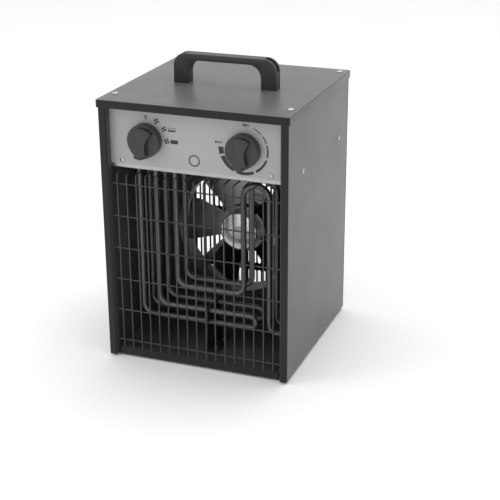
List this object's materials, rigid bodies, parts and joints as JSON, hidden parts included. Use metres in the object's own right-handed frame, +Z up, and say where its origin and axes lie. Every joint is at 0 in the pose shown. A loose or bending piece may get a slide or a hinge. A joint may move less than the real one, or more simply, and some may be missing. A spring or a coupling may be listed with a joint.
{
  "type": "fan heater",
  "caption": "Box-shaped electric fan heater with a wire guard, tubular elements, an axial fan, a selector, a thermostat and a carrying handle.",
  "frame": {"origin": "on the floor, under the middle of the bounding box", "axes": "+Z up, the front with guard and controls faces -Y, +X to the right as seen from the front"},
  "size_m": [0.26, 0.2696, 0.4],
  "materials": {
    "black_paint": "satin black powder coat",
    "grey_paint": "satin dark powder coat",
    "silver_panel": "smooth silver paint",
    "bright_steel": "bright zinc-coated sheet",
    "guard_wire": "satin dark wire",
    "sheath": "drawn stainless tube",
    "blade_metal": "mill-bright sheet",
    "motor_metal": "cast, matt",
    "core_steel": "stacked sheets",
    "zinc": "zinc plated",
    "chrome": "bright plated",
    "brass": "turned",
    "copper": "enamelled wire and drawn tube",
    "ceramic_white": "unglazed ceramic",
    "white_plastic": "moulded",
    "black_plastic": "fine grained moulding",
    "rubber": "matt"
  },
  "bodies": {
    "housing": {"side_shell": "black_paint", "base_tray": "black_paint", "rubber_feet": "rubber", "top_cover": "grey_paint", "cover_screws": "chrome", "handle": "black_plastic", "handle_screws": "zinc", "back_panel": "black_paint", "back_screws": "zinc", "control_panel": "silver_panel", "panel_screws": "chrome", "heat_shield": "bright_steel", "side_screws": "chrome", "front_grille": "guard_wire", "grille_clips": "zinc", "thermostat_bulb": "copper", "bulb_clips": "zinc", "thermal_cutout": "black_plastic", "clip_screws": "zinc", "heating_element_1": "sheath", "heating_element_2": "sheath", "heating_element_3": "sheath", "element_fittings": "brass", "element_insulators": "ceramic_white", "element_terminals": "zinc", "element_support": "bright_steel", "fan_shroud": "bright_steel", "duct_ring": "bright_steel", "shroud_screws": "zinc", "motor_bracket": "bright_steel", "bracket_screws": "zinc", "motor_screws": "zinc", "motor_front_bell": "motor_metal", "motor_rear_bell": "motor_metal", "motor_stator": "core_steel", "motor_windings": "copper", "motor_bearings": "brass", "selector_switch": "black_plastic", "thermostat_body": "black_plastic", "switch_nuts": "zinc", "terminal_block": "white_plastic", "terminal_screws": "zinc", "cable_gland": "black_plastic", "gland_nut": "black_plastic", "earth_stud": "brass", "earth_nut": "brass"},
    "fan": {"fan_blades": "blade_metal", "fan_hub": "blade_metal", "hub_nut": "zinc", "motor_shaft": "zinc", "motor_rotor": "core_steel"},
    "selector": {"selector_knob": "black_plastic", "selector_spindle": "zinc"},
    "thermostat": {"thermostat_knob": "black_plastic", "thermostat_spindle": "zinc"}
  },
  "joints": [
    {"name": "fan_spin", "type": "hinge", "parent": "housing", "child": "fan", "pos_m": [0, 0.045, 0.14], "axis": [0, 1, 0], "continuous": true},
    {"name": "selector_turn", "type": "hinge", "parent": "housing", "child": "selector", "pos_m": [-0.0665, -0.116, 0.31], "axis": [0, 1, 0], "continuous": true},
    {"name": "thermostat_turn", "type": "hinge", "parent": "housing", "child": "thermostat", "pos_m": [0.0665, -0.116, 0.31], "axis": [0, 1, 0], "range_deg": [-177, 83]}
  ]
}
